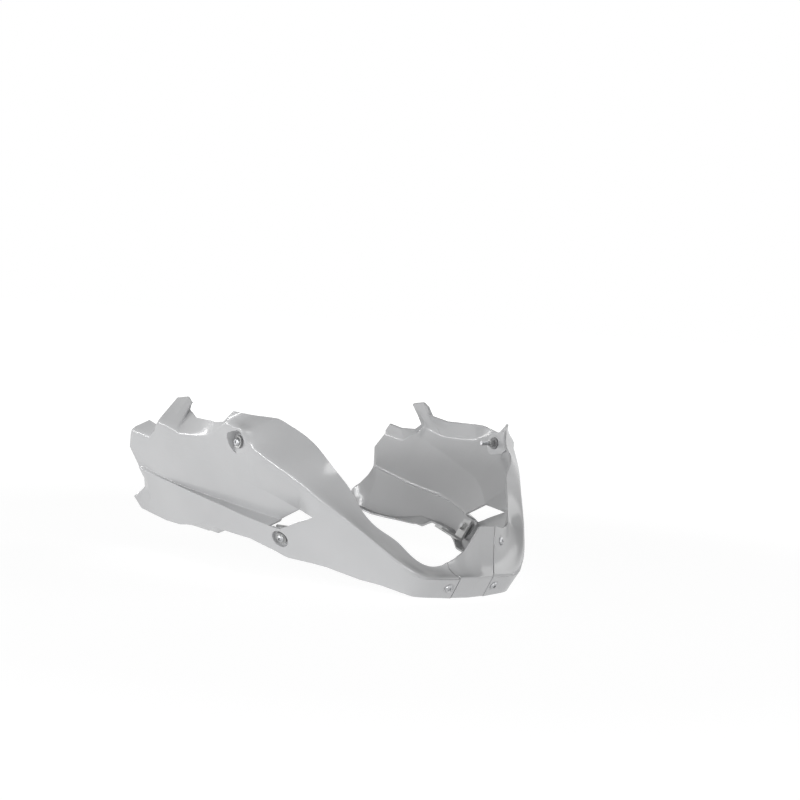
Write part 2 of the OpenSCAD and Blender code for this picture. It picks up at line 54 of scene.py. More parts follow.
# Side panels. Each is one injection-moulded shell of grained thermoplastic, 3 mm thick, with a scooped
# flank, a vent, a notched upper flange and a hollow nose. The left one mirrors the right one apart from its
# nose and a lower corner in its upper edge. Screws in rubber grommets hold both to the engine.
MM = 0.001
shell_t = 3.0

# The planes of flank, tail and nose: half widths, leans from upright, rakes along the pan, and soft bends.
flank_half, flank_rake, flank_lean = 155.0, math.radians(17.5), math.radians(30)
tail_half, tail_lean, tail_rake, bend_soft = 195.0, math.radians(19), math.radians(1.1), 26.0
tail_x, tail_z = -268.0, 70.0
nose_x, nose_crease_z = 268.0, 30.0
nose_rake, nose_lean, nose_round = math.radians(8.8), math.radians(32), 30.0

# A station is a place along the skin: x on the flank, and on from there round the nose corner to the seam.
tail_end_s, wrap_s, wrap_len, seam_s = -228.0, 225.0, 52.0, 312.0
seam_half, seam_gap = 27.0, 1.0
left_corner_drop, left_corner_s, left_notch_s = 12.0, 64, 100
tongue_z = 92.0

# How far each line or stretch is sunk below the skin, and where that begins or ends.
style_depth, scoop_depth, scoop_power = 17.5, 18.0, 2.4
tail_sink, tail_sink_run = 4.5, 9.0
tail_fold_depth, tail_fold_s, tail_fold_run = 9.0, -244.0, 28.0
return_w, return_rise = 13.0, 1.0
under_depth, under_from_s, under_in_run, under_to_s, under_out_run = 12.0, -150.0, 60.0, -42.0, 25.0

# The run over which the skirt's stations lag at the tail, and how the flange turns hollow over the nose.
late_run = 150.0
hollow_from_s, hollow_run, hollow_most, hollow_corner = 130.0, 100.0, 0.85, 0.12

# Lines across the panel as (station, height), and where each meets a station of the crease above it.
top_line = [
    (-228, 172), (-181, 166), (-158, 179), (-150, 187), (-145, 191), (-91, 178), (-22, 178), (-9, 183),
    (20, 199), (29, 202), (57, 200), (61, 196), (64, 183), (69, 175), (91, 160), (144, 123), (196, 85),
    (228, 57), (247, 41), (265, nose_crease_z), (seam_s, nose_crease_z)]
vent_s, style_s, foot_s = (126, 160), (-158, 96, 128), (-231, 57, 97)
style_shift = [
    (-228, -244), (-145, style_s[0]), (vent_s[0], style_s[1]), (vent_s[1], style_s[2]), (seam_s, seam_s)]
foot_shift = [(-228, foot_s[0]), (vent_s[0], foot_s[1]), (vent_s[1], foot_s[2]), (seam_s, seam_s)]
lip_shift = [(-228, foot_s[0]), (vent_s[0], 50), (vent_s[1], 66), (seam_s, seam_s)]
edge_shift = [(-228, tail_x), (-215, -254), (vent_s[0], 28), (vent_s[1], 55), (seam_s, seam_s)]
style_line = [
    (-244, 147), (-190, 152), (-158, 175), (-103, 160), (-61, 148), (-21, 135), (31, 120), (66, 105),
    (96, 89), (128, 92), (200, 58), (240, 27), (seam_s, 24)]
foot_line = [
    (-231, 121), (-180, 111), (-134, 102), (-44, 91), (10, 81), (57, 71), (97, 81), (200, 43), (240, 20),
    (seam_s, 18)]
lip_line = [
    (-231, 117), (-124, 103), (-30, 90), (22, 78), (66, 69), (110, 59), (200, 33), (240, 15), (seam_s, 13)]
edge_line = [
    (tail_x, 73), (-254, 57), (-189, 48), (-150, 47), (-102, 55), (-84, 58), (-42, 54), (8, 49), (41, 38),
    (59, 30), (101, 27), (118, 25), (163, 15), (193, 12), (221, 6), (241, 3), (seam_s, 0)]

# Free upper edges: station, then forward, outward and up from the crease at that station.
flange_edge = [
    (-228, 3, -5, 5), (-208, 5, -14, 19), (-181, 3, -11, 18), (-158, 1, -6, 5), (-150, 1, -4, 5),
    (-145, 2, -29, 34), (-118, 2, -28, 44), (-104, 0, -26, 40), (-98, -9, -25, 31), (-91, 17, -13, 25),
    (-22, 0, -3, 25), (20, 2, -3, 6), (29, 11, -6, 18), (57, 10, -30, 16), (62, 24, -46, 22),
    (68, 35, -51, 26), (91, 31, -50, 28), (112, 25, -41, 29), (130, 16, -36, 27), (144, 2, -36, 28),
    (160, 0, -34, 23), (182, -5, -28, 8), (204, -14, -22, 9)]
low_edge = [
    (228, -23, -30, 13), (240, -23, -26, 9), (250, -22, -23, 8), (262, -22, -18, 9), (280, -23, -11, 10),
    (298, -21, -2, 13), (seam_s, -20, 8, 17)]
high_edge = [
    (228, -16, -24, 29), (247, -18, -23, 46), (270, -20, -10, 58), (290, -17, -1, 60),
    (seam_s, -16, 12, tongue_z - nose_crease_z)]

# Rows of the surface's grid in each stretch, from the free edge down, and the rows where stretches meet.
flange_rows, face_rows, scoop_rows, wall_rows, skirt_rows, return_rows = 16, 18, 14, 10, 20, 6
crease_row = flange_rows
style_row = crease_row + face_rows
foot_row = style_row + scoop_rows
lip_row = foot_row + wall_rows


def row_at(table, s):
    """Straight-line interpolation in every column of a table, by its first column."""
    rows = np.array(table, float)
    return np.stack([np.interp(s, rows[:, 0], rows[:, k]) for k in range(1, rows.shape[1])], -1)


def side_y(x, z):
    """Half width: the flank's plane, cut by the tail's plane, with a parabola across the bend."""
    flank = flank_half - x * math.tan(flank_rake) + z * math.tan(flank_lean)
    tail = tail_half + (z - tail_z) * math.tan(tail_lean) + (x - tail_x) * math.tan(tail_rake)
    h = np.maximum(bend_soft - abs(flank - tail), 0) / bend_soft
    return np.minimum(flank, tail) - h * h * bend_soft / 4


def curve(a, b, c, t):
    """Parabola from a to c that leaves towards b: a(1-t)^2 + 2bt(1-t) + ct^2."""
    return a * (1 - t) ** 2 + b * 2 * t * (1 - t) + c * t * t


def skin(s, z):
    """Outer skin by station and height: flank, a parabola round the nose corner, and the nose plane."""
    s, z = np.broadcast_arrays(np.asarray(s, float), np.asarray(z, float))
    tuck = np.minimum(z - nose_crease_z, 0) * math.tan(nose_lean)
    cx = nose_x + tuck - math.tan(nose_rake) * (flank_half + z * math.tan(flank_lean))
    cx = cx / (1 - math.tan(nose_rake) * math.tan(flank_rake))
    cy = flank_half - cx * math.tan(flank_rake) + z * math.tan(flank_lean)
    ex, ey = cx + nose_round * math.sin(nose_rake), cy - nose_round * math.cos(nose_rake)
    t = np.clip((s - wrap_s) / wrap_len, 0, 1)
    u = np.clip((s - wrap_s - wrap_len) / (seam_s - wrap_s - wrap_len), 0, 1)
    run = (ey - seam_half - seam_gap) * u
    x = np.where(s <= wrap_s, s, curve(wrap_s, cx, ex, t) + run * math.tan(nose_rake))
    y = np.where(s <= wrap_s, side_y(s, z), curve(side_y(wrap_s, z), cy, ey, t) - run)
    return np.stack([x, y, z], -1)


def unit(v):
    """Vectors divided by their lengths."""
    return v / np.maximum(np.linalg.norm(v, axis=-1, keepdims=True), 1e-9)


def skin_normal(s, z):
    """Outward normal of the skin: the cross product of its differences over 1 mm each way."""
    return unit(np.cross(skin(s, z + 1) - skin(s, z - 1), skin(s + 1, z) - skin(s - 1, z)))


def stations(shares):
    """Shares of a stretch, closer together near both folds: half of 1 less the cosine over a half turn."""
    return 0.5 - 0.5 * np.cos(np.pi * np.arange(shares) / shares)


def rise(free, crease, hollow, t):
    """From the free edge (t = 0) to the crease (t = 1): a parabola towards a mix of two corners.

    One corner is halfway between both ends, which makes the section straight. The other is below the free
    edge, a little above the crease, which makes it hollow. The share called hollow is that of the second.
    """
    corner = free.copy()
    corner[..., 2] = crease[..., 2] + (free[..., 2] - crease[..., 2]) * hollow_corner
    return curve(free, (free + crease) / 2 * (1 - hollow) + corner * hollow, crease, t[..., None])


def free_edge_rise(s, edges, t):
    """The flange at each station: straight at the back, and hollow over the nose."""
    crease = skin(s, row_at(edges[0], s)[..., 0])
    hollow = np.clip((s - hollow_from_s) / hollow_run, 0, hollow_most)[..., None]
    return rise(crease + row_at(edges[1], s), crease, hollow, t)


def line_at(shift, line, s):
    """Station and height of a line across the panel, where it meets each station of the crease."""
    q = row_at(shift, s)[..., 0]
    return np.stack([q, row_at(line, q)[..., 0]], -1)


def sunk(a, b, t, depth):
    """Points at shares t between lines a and b, moved inwards along the skin's normal by a depth."""
    q = a[:, None] * (1 - t[None, :, None]) + b[:, None] * t[None, :, None]
    return skin(q[..., 0], q[..., 1]) - skin_normal(q[..., 0], q[..., 1]) * depth[..., None]


def panel_surface(s, edges):
    """Outer surface on a grid of stations and rows: flange, upper face, scoop, lip, skirt, turned-in edge.

    The upper face sinks evenly to the style line, and the scoop from there to its foot by a power of the
    share. The lip comes back to the skin evenly. The skirt keeps to the skin, apart from a fold at the tail
    whose depth follows 4t(1-t) at each third. The edge turns inwards, and dips for a stretch at the rear.
    """
    top = np.stack([s, row_at(edges[0], s)[..., 0]], -1)
    style = line_at(style_shift, style_line, s)
    foot = line_at(foot_shift, foot_line, s)
    lip = line_at(lip_shift, lip_line, s)
    low = line_at(edge_shift, edge_line, s)
    style_in = np.interp(style[:, 0], style_s, [0, style_depth, 0])[:, None]
    scoop_in = np.interp(foot[:, 0], foot_s, [0, scoop_depth, 0])
    tail_in = np.interp(foot[:, 0], [foot_s[0], foot_s[0] + tail_sink_run, 0], [0, tail_sink, 0])
    foot_in = np.maximum(scoop_in, tail_in)[:, None]

    t = stations(flange_rows)
    flange = free_edge_rise(s[:, None] + 0 * t, edges, t[None, :] + 0 * s[:, None])
    t = stations(face_rows)
    face = sunk(top, style, t, style_in * t)
    t = stations(scoop_rows)
    scoop = sunk(style, foot, t, style_in + (foot_in - style_in) * t ** scoop_power)
    t = stations(wall_rows)
    wall = sunk(foot, lip, t, foot_in * (1 - t))

    # Towards the tail the skirt's stations lag behind its heights: they follow the cube of the share.
    t = np.append(stations(skirt_rows), 1.0)
    thirds = np.array([0, 1 / 3, 2 / 3, 1])
    late = t + (np.interp(t, thirds, thirds ** 3) - t) * np.clip(-low[:, :1] / late_run, 0, 1)
    qs = lip[:, :1] + (low[:, :1] - lip[:, :1]) * late
    qz = lip[:, 1:] + (low[:, 1:] - lip[:, 1:]) * t
    fold = np.interp(t, thirds, 4 * thirds * (1 - thirds)) * tail_fold_depth
    fold = np.where(low[:, :1] < 0, fold * np.maximum(0, 1 - (qs - tail_fold_s) / tail_fold_run), 0)
    skirt = skin(qs, qz) - skin_normal(qs, qz) * fold[..., None]

    level = -unit(skin_normal(low[:, 0], low[:, 1]) * [1, 1, 0])
    ahead = np.clip((low[:, :1] - wrap_s) / wrap_len, 0, 1)
    level = level * (1 - ahead) + np.array([-1.0, 0, 0]) * ahead
    dip_in = (low[:, 0] - under_from_s) / under_in_run
    dip_out = (under_to_s - low[:, 0]) / under_out_run
    under = under_depth * np.clip(np.minimum(dip_in, dip_out), 0, 1)
    inwards = level * return_w + np.stack([0 * under, 0 * under, return_rise - under], -1)
    t = np.linspace(0, 1, return_rows + 1)[1:]
    turned_in = skirt[:, -1:] + inwards[:, None] * t[None, :, None]
    return np.concatenate([flange, face, scoop, wall, skirt, turned_in], 1)


def rounded(grid, axis, reach):
    """Folds rounded off: each point becomes the Gaussian mean of its section, by length along it.

    The reach is the bell curve's width in mm. The mean fades out over two and a half reaches at both ends
    of the section, so that the free edges keep their place.
    """
    g = np.moveaxis(grid, axis, 1)
    step = np.linalg.norm(np.diff(g, axis=1), axis=-1)
    run = np.concatenate([np.zeros((len(g), 1)), np.cumsum(step, 1)], 1)
    share = np.concatenate([step, 0 * step[:, :1]], 1) + np.concatenate([0 * step[:, :1], step], 1)
    reach = np.broadcast_to(reach, run.shape)
    w = np.exp(-0.5 * ((run[:, :, None] - run[:, None, :]) / reach[:, :, None]) ** 2) * share[:, None, :]
    mean = (w @ g) / w.sum(2, keepdims=True)
    fade = np.clip(np.minimum(run, run[:, -1:] - run) / (2.5 * reach), 0, 1)[..., None]
    return np.moveaxis(g + (mean - g) * fade, 1, axis)


def new_piece(name, points, faces):
    """A mesh of points in mm and faces, as an object at the origin."""
    mesh = bpy.data.meshes.new(name)
    mesh.from_pydata((points * MM).tolist(), [], faces)
    piece = bpy.data.objects.new(name, mesh)
    bpy.context.collection.objects.link(piece)
    return piece


def sheet(name, grid, open_cells=None):
    """Quads between the neighbours of a grid of points, without the open cells, facing outwards."""
    ni, nj = grid.shape[:2]
    ids = np.arange(ni * nj).reshape(ni, nj)
    quads = np.stack([ids[:-1, :-1], ids[1:, :-1], ids[1:, 1:], ids[:-1, 1:]], -1)
    if open_cells is None:
        open_cells = np.zeros(quads.shape[:2], bool)
    quads = quads[~open_cells]
    used = np.unique(quads)
    place = np.zeros(ni * nj, int)
    place[used] = np.arange(len(used))
    piece = new_piece(name, grid.reshape(-1, 3)[used], place[quads].tolist())
    piece.data.validate()
    return piece


def applied(piece):
    """The piece's modifiers baked into its mesh, in order."""
    graph = bpy.context.evaluated_depsgraph_get()
    done = bpy.data.meshes.new_from_object(piece.evaluated_get(graph))
    piece.modifiers.clear()
    piece.data = done


def walled(piece, wall, side=-1, group=""):
    """The sheet given a wall in mm: inwards for side -1, outwards for side 1."""
    solid = piece.modifiers.new("wall", "SOLIDIFY")
    solid.thickness = wall * MM
    solid.offset = side
    solid.vertex_group = group
    applied(piece)


def values_of(items, key, width=1, kind=float):
    """One property of a mesh's vertices, edges, corners or faces, as an array with a row for each."""
    out = np.empty(len(items) * width, kind)
    items.foreach_get(key, out)
    return out.reshape(-1, width)


rim_fold, rim_turn, rim_soft = math.radians(62), math.radians(30), 0.8


def rim_edges(mesh):
    """Whether each edge of a closed shell lies on a rim that runs on without a sharp turn.

    Two unit vectors at an angle a are apart by the root of 2 - 2 cos a. An edge is a rim where the normals
    of its two faces are further apart than at 62 degrees. The rim runs on at a point where just two such
    edges meet, and their directions away from it, which cancel on a straight line, add up to less than they
    do at a turn of 30 degrees.
    """
    ends = values_of(mesh.edges, "vertices", 2, np.int32)
    co = values_of(mesh.vertices, "co", 3)
    corners = values_of(mesh.polygons, "loop_total", kind=np.int32)[:, 0]
    face = np.repeat(np.arange(len(corners)), corners)
    by_edge = np.argsort(values_of(mesh.loops, "edge_index", kind=np.int32)[:, 0], kind="stable")
    normals = values_of(mesh.polygons, "normal", 3)[face[by_edge]].reshape(-1, 2, 3)
    rim = ((normals[:, 0] - normals[:, 1]) ** 2).sum(-1) > 2 - 2 * math.cos(rim_fold)
    way = unit(co[ends[rim, 1]] - co[ends[rim, 0]])
    meeting = np.zeros(len(co), int)
    total = np.zeros((len(co), 3))
    for end, out in ((0, way), (1, -way)):
        np.add.at(meeting, ends[rim, end], 1)
        np.add.at(total, ends[rim, end], out)
    turns = (meeting != 2) | ((total ** 2).sum(-1) > 2 - 2 * math.cos(rim_turn))
    return rim & ~turns[ends].any(1)


box_margin = 0.00005
box_inside = np.array(cad_box) + [[box_margin], [-box_margin]]
thin_most, thin_least, thin_long, thin_high = 0.75, 0.2, 10, 12


def moulded(piece, tight=()):
    """A moulded wall: the sheet thickened inwards, with its rims softened by almost a millimetre.

    Near the tight corners, given as (x, z), the wall thins to a quarter, by a bell curve 10 mm long and
    12 mm high. All places of one thickness are set at once. Rims that turn sharply stay as they are, and the
    whole wall is kept inside the CAD model's box.
    """
    co = values_of(piece.data.vertices, "co", 3) / MM
    share = np.ones(len(co))
    for x, z in tight:
        share -= thin_most * np.exp(-((co[:, 0] - x) / thin_long) ** 2 - ((co[:, 2] - z) / thin_high) ** 2)
    share = np.clip(share, thin_least, 1)
    group = piece.vertex_groups.new(name="wall_share")
    for level in np.unique(share):
        group.add(np.flatnonzero(share == level).tolist(), float(level), "REPLACE")
    walled(piece, shell_t, group="wall_share")
    soft = rim_edges(piece.data).astype(float)
    piece.data.attributes.new("bevel_weight_edge", "FLOAT", "EDGE").data.foreach_set("value", soft)
    rim = piece.modifiers.new("rim", "BEVEL")
    rim.width = rim_soft * MM
    rim.segments = 2
    rim.limit_method = "WEIGHT"
    rim.use_clamp_overlap = False
    applied(piece)
    co = values_of(piece.data.vertices, "co", 3)
    piece.data.vertices.foreach_set("co", np.clip(co, *box_inside).ravel())


def cut(piece, other, operation="DIFFERENCE"):
    """Cut or union with another closed mesh, which is then removed."""
    bpy.context.view_layer.update()
    step = piece.modifiers.new("cut", "BOOLEAN")
    step.operation = operation
    step.solver = "MANIFOLD"
    step.object = other
    applied(piece)
    bpy.data.objects.remove(other)


def lofted(name, rings):
    """A closed solid through a stack of equal rings of points, capped at both ends."""
    rings = np.asarray(rings, float)
    k, n = rings.shape[:2]
    ids = np.arange(k * n).reshape(k, n)
    nxt = np.roll(ids, -1, 1)
    quads = np.stack([ids[:-1], nxt[:-1], nxt[1:], ids[1:]], -1).reshape(-1, 4)
    caps = [ids[0, ::-1].tolist(), ids[-1].tolist()]
    return new_piece(name, rings.reshape(-1, 3), quads.tolist() + caps)


def placed(rings, pos, axis):
    """Rings given as (x, y, z) beside an upright axis, turned so that z lies along the axis given."""
    a = unit(np.asarray(axis, float))
    flat = math.atan2(a[1], a[0])
    tilt = math.acos(a[2])
    u = np.array([math.cos(tilt) * math.cos(flat), math.cos(tilt) * math.sin(flat), -math.sin(tilt)])
    v = np.array([-math.sin(flat), math.cos(flat), 0])
    r = np.asarray(rings, float)
    return pos + r[..., :1] * u + r[..., 1:2] * v + r[..., 2:] * a


def turned(name, profile, pos, axis, count=72):
    """A turned solid along an axis: a profile of (radius, height) points carried round in equal steps."""
    p = np.asarray(profile, float)
    w = np.arange(count) * 2 * np.pi / count
    rings = np.stack([p[:, :1] * np.cos(w), p[:, :1] * np.sin(w), p[:, 1:] + 0 * w], -1)
    return lofted(name, placed(rings, pos, axis))


def mirrored_y(piece):
    """The piece mirrored in the plane y = 0, with its faces turned right side out again."""
    piece.data.transform(Matrix.Diagonal((1, -1, 1, 1)))
    piece.data.flip_normals()


# The upper screw sits in a pocket with soft corners, the lower one in a round recess square to the skin.
upper_x, upper_z, pocket_depth = 35.0, 180.0, 13.0
upper_y = float(side_y(upper_x, upper_z)) - pocket_depth
upper_pos, upper_axis = np.array([upper_x, upper_y, upper_z]), (0, 1, 0)
pocket_x, pocket_z, pocket_wall, pocket_reach, cup_height = 42.0, 181.0, 2.5, 60.0, 17.0
pocket_shape = np.array([
    (-14, 10), (-2, 13), (12, 16), (17, 13), (19, 6), (17, -7), (6, -14), (-8, -18), (-16, -15), (-20, -7),
    (-19, 3)], float)
lower_x, lower_z, recess_r, recess_depth = 60.0, 55.0, 12.25, 5.5
lower_axis = skin_normal(lower_x, lower_z)
lower_pos = skin(lower_x, lower_z) - lower_axis * recess_depth
neck_hole_r, screw_hole_r, seat_r, seat_depth = 6.8, 2.8, 7.0, 0.6
clearance = 0.02
normal_y = 0.84


def pocket_outline(by):
    """The pocket's closed outline in x and z, with each corner moved out from its middle by a distance.

    A parabola rounds each corner. It begins and ends at 55 percent of the way to the middles of the sides.
    """
    count, near = 12, 0.55
    p = pocket_shape + unit(pocket_shape) * by
    prev, nxt = (p + np.roll(p, 1, 0)) / 2, (p + np.roll(p, -1, 0)) / 2
    a = p[:, None] + (prev - p)[:, None] * near
    c = p[:, None] + (nxt - p)[:, None] * near
    return curve(a, p[:, None], c, (np.arange(count) / count)[None, :, None]).reshape(-1, 2)


def pocket_prism(name, by, levels):
    """The pocket's outline carried along y through the given places."""
    flat = pocket_outline(by)
    rings = [
        np.stack([pocket_x + flat[:, 0], 0 * flat[:, 0] + y, pocket_z + flat[:, 1]], -1) for y in levels]
    return lofted(name, rings)


def pocket_mouth():
    """A chamfer round the pocket's mouth: the outline grown step by step, from below the skin to above.

    A lift is square to the skin, so it is divided by the share of y in the skin's normal.
    """
    rings = []
    for grow, lift in ((-0.2, -1.2), (0.25, -0.75), (0.8, -0.2), (1.6, 0.6), (6.0, 5.0)):
        g = pocket_outline(grow)
        rings.append(skin(pocket_x + g[:, 0], pocket_z + g[:, 1]) + [0, lift / normal_y, 0])
    return lofted("pocket_mouth", rings)


def pocket_cup(s, grid):
    """The wall round the pocket: its grown outline, hollowed, and trimmed by a copy of the surface itself.

    The copy lies 2.2 mm below the surface, and all that is outside it is cut away.
    """
    cup = pocket_prism("pocket_cup", pocket_wall, [upper_y - shell_t, upper_y + cup_height])
    cut(cup, pocket_prism("pocket_hole", clearance, [upper_y, upper_y + pocket_reach]))
    around, below, wall = 30, 2.2, 40
    near = grid[np.ix_(abs(s - pocket_x) < around, np.arange(2 * crease_row))] - [0, below, 0]
    outside = sheet("outside", near)
    walled(outside, wall, side=1)
    cut(cup, outside)
    return cup


def panel_grid(edges):
    """Stations, and the surface's grid with its folds rounded, down each section and then along each row.

    The crease gets the widest round of a section. Along the rows the mean is short, apart from the flange
    and the crease ahead of the pocket, where it runs over 10 mm and makes the line to the nose a fair curve.
    """
    fold_reach, crease_reach, lip_reach, row_reach, edge_more, crease_more = 0.7, 4.5, 0.8, 1.3, 9.0, 9.7
    keys = [row[0] for row in flange_edge + low_edge + top_line] + list(vent_s)
    s = np.union1d(np.linspace(tail_end_s, seam_s, 190), keys)
    s = s[np.append(True, np.diff(s) > 0.4)]
    grid = panel_surface(s, edges)
    reach = np.full(grid.shape[1], fold_reach)
    reach[crease_row - 9:crease_row + 9] = crease_reach
    reach[foot_row - 4:lip_row + 5] = lip_reach
    grid = rounded(grid, 1, reach[None, :])
    rows = np.arange(grid.shape[1])[:, None]
    edge_sweep = edge_more * np.clip((s - 36) / 20, 0, 1)
    crease_sweep = crease_more * np.clip((s - 66) / 14, 0, 1)
    near_edge = np.clip((crease_row - 3 - rows) / 4, 0, 1)
    sweep = edge_sweep * near_edge + crease_sweep * (1 - near_edge)
    return s, rounded(grid, 0, row_reach + sweep * (rows < crease_row + 6))


def side_panel(name, edges, seats):
    """One side panel: surface, wall, pocket and recess with their cups, holes and screw seats."""
    s, grid = panel_grid(edges)
    middle = (s[:-1] + s[1:]) / 2
    vent_rows = np.arange(style_row, lip_row)
    open_cells = np.zeros((len(s) - 1, grid.shape[1] - 1), bool)
    open_cells[np.ix_((middle > vent_s[0]) & (middle < vent_s[1]), vent_rows)] = True
    panel = sheet(name, grid, open_cells)
    moulded(panel, tight=[(-149, 182), (-146, 198), (-95, 195), (-268, 73)])

    cut(panel, pocket_prism("pocket_hole", 0, [upper_y, upper_y + pocket_reach]))
    recess = [
        (recess_r, 0), (recess_r, recess_depth - 0.9), (recess_r + 0.3, recess_depth - 0.3),
        (recess_r + 0.9, recess_depth + 0.05), (recess_r + 6, recess_depth + 3)]
    cut(panel, turned("recess_hole", recess, lower_pos, lower_axis))
    cut(panel, pocket_mouth())
    cut(panel, pocket_cup(s, grid), "UNION")
    cup_r, hollow_r = recess_r + pocket_wall, recess_r + clearance
    wall = [(cup_r, -shell_t), (cup_r, recess_depth - shell_t / 2)]
    cup = turned("recess_cup", wall, lower_pos, lower_axis)
    cut(cup, turned("recess_hole", [(hollow_r, 0), (hollow_r, 40)], lower_pos, lower_axis))
    cut(panel, cup, "UNION")

    neck = [(neck_hole_r, -shell_t - 1), (neck_hole_r, 16)]
    cut(panel, turned("neck_hole", neck, upper_pos, upper_axis))
    cut(panel, turned("neck_hole", neck, lower_pos, lower_axis))
    seat = [
        (screw_hole_r, -12), (screw_hole_r, -seat_depth - 0.01), (screw_hole_r, -seat_depth),
        (seat_r, -seat_depth), (seat_r + 0.6, 0), (seat_r + 3, 2), (seat_r + 3, 12)]
    for pos, axis in seats:
        cut(panel, turned("seat", seat, pos, axis))
    return panel


def finished(piece, node, finish):
    """Shading that breaks at folds over 32 degrees, one finish, and the place of the node it replaces."""
    piece.data.shade_smooth()
    piece.data.set_sharp_from_angle(angle=math.radians(32))
    piece.data.materials.clear()
    piece.data.materials.append(finish)
    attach(piece, "root")
    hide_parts(node)


def nose_seat():
    """Place and axis of a nose screw, 10 mm from the seam, on the plane of the nose face's left half."""
    y, z = seam_half + seam_gap + 10, nose_crease_z / 2
    x = nose_x - (nose_crease_z - z) * math.tan(nose_lean) - y * math.tan(nose_rake)
    return np.array([x, y, z]), unit(np.array([1, math.tan(nose_rake), -math.tan(nose_lean)]))


def band_seat(edges):
    """Place and axis of the seam screw, a fifth of the way down the left panel's front band."""
    s, t = 274.0, 0.2

    def at(ss, tt):
        """One point of the band."""
        return free_edge_rise(np.array([ss]), edges, np.array([tt]))[0]

    return at(s, t), unit(np.cross(at(s - 2, t) - at(s + 2, t), at(s, t - 0.05) - at(s, t + 0.05)))


def lowered(row):
    """A row of the left panel's flange edge: wider over its lower corner, and lower just ahead of that."""
    s, forward, outward, up = row
    if 0 < s < left_corner_s:
        return s, forward, outward + left_corner_drop * math.tan(flank_lean), up
    return (s, forward, outward, up - left_corner_drop) if left_corner_s < s < left_notch_s else row


left_top = [(s, z - left_corner_drop) if 0 < s < left_corner_s else (s, z) for s, z in top_line]
left_edges = (left_top, [lowered(row) for row in flange_edge] + high_edge)
right_edges = (top_line, flange_edge + low_edge)


def new_finish(name):
    """A material, its node tree and its shader."""
    finish = bpy.data.materials.new(name)
    finish.use_nodes = True
    return finish, finish.node_tree, finish.node_tree.nodes["Principled BSDF"]


def clouds(tree, scale, detail):
    """Noise on the object's own coordinates, from 0 to 1."""
    place = tree.nodes.new("ShaderNodeTexCoord")
    noise = tree.nodes.new("ShaderNodeTexNoise")
    noise.inputs["Scale"].default_value = scale
    noise.inputs["Detail"].default_value = detail
    tree.links.new(place.outputs["Object"], noise.inputs["Vector"])
    return noise.outputs["Fac"]


def toned(tree, cloud, target, dark, light, span=(0, 1)):
    """A colour that runs from dark to light, between two levels of the noise."""
    tone = tree.nodes.new("ShaderNodeValToRGB")
    for element, level, colour in zip(tone.color_ramp.elements, span, (dark, light)):
        element.position = level
        element.color = (*colour, 1)
    tree.links.new(cloud, tone.inputs["Fac"])
    tree.links.new(tone.outputs["Color"], target)


def spread(tree, source, target, low, high):
    """A number that runs from low to high as another one runs from 0 to 1."""
    scale = tree.nodes.new("ShaderNodeMapRange")
    scale.inputs["To Min"].default_value = low
    scale.inputs["To Max"].default_value = high
    tree.links.new(source, scale.inputs["Value"])
    tree.links.new(scale.outputs["Result"], target)


# Moulded plastic: a satin grey whose tone and gloss drift a little, over a fine grain that is only felt.
plastic, tree, shader = new_finish("moulded_plastic")
drift = clouds(tree, 9, 5)
toned(tree, drift, shader.inputs["Base Color"], (0.445, 0.448, 0.455), (0.485, 0.488, 0.495), (0.3, 0.7))
spread(tree, drift, shader.inputs["Roughness"], 0.17, 0.24)
emboss = tree.nodes.new("ShaderNodeBump")
emboss.inputs["Strength"].default_value = 0.05
emboss.inputs["Distance"].default_value = 0.0004
tree.links.new(clouds(tree, 1500, 3), emboss.inputs["Height"])
tree.links.new(emboss.outputs["Normal"], shader.inputs["Normal"])
shader.inputs["Specular IOR Level"].default_value = 0.9

left_panel = side_panel("left_side_shell", left_edges, [nose_seat(), band_seat(left_edges)])
right_panel = side_panel("right_side_shell", right_edges, [nose_seat()])
mirrored_y(right_panel)
finished(left_panel, "left_side_panel", plastic)
finished(right_panel, "right_side_panel", plastic)

# Front centre panel. A separate moulding between the side panels, of the same plastic. Its tongue rises
# left of the middle, and tabs behind it reach under the side panels, where the seam screws hold it.
tongue_rise = tongue_z - nose_crease_z
tongue_edge = [
    (0, -21, -7, 16), (0.18, -19, -5, 23), (0.34, -21, -1, 30), (0.5, -21, 1, 45),
    (0.66, -19, 4, tongue_rise), (1, -16, 11, tongue_rise)]
tab_depth, tab_t, pad_t = shell_t + 0.3, 3.0, 1.6
tab_half, tab_low, tab_root, tab_high, tab_root_depth = 9, -20, -12, 10, 1.8


def centre_rise(u, t):
    """The tongue from free edge (t = 0) to crease (t = 1), at a share u across from right to left."""
    y = -seam_half + 2 * seam_half * u
    crease = np.stack([nose_x - abs(y) * math.tan(nose_rake), y, 0 * y + nose_crease_z], -1)
    return rise(crease + row_at(tongue_edge, u), crease, hollow_most, t)


def centre_surface(u):
    """Outer surface: the tongue, the nose face that leans in below the crease, and the edge turned back."""
    y = (-seam_half + 2 * seam_half * u)[:, None]
    t = stations(26)
    tongue = centre_rise(u[:, None] + 0 * t, t[None, :] + 0 * u[:, None])
    t = stations(14)
    x = nose_x - abs(y) * math.tan(nose_rake) - nose_crease_z * t * math.tan(nose_lean)
    face = np.stack(np.broadcast_arrays(x, y, nose_crease_z * (1 - t)), -1)
    t = np.linspace(0, 1, 8)
    x = nose_x - abs(y) * math.tan(nose_rake) - nose_crease_z * math.tan(nose_lean) - return_w * t
    foot = np.stack(np.broadcast_arrays(x, y, return_rise * t), -1)
    return np.concatenate([tongue, face, foot], 1)


def block(low, high, pos, axis):
    """A box between two corners given beside an axis."""
    (x0, y0, z0), (x1, y1, z1) = low, high
    rings = [[(x0, y0, z), (x1, y0, z), (x1, y1, z), (x0, y1, z)] for z in (z0, z1)]
    return lofted("block", placed(rings, pos, axis))


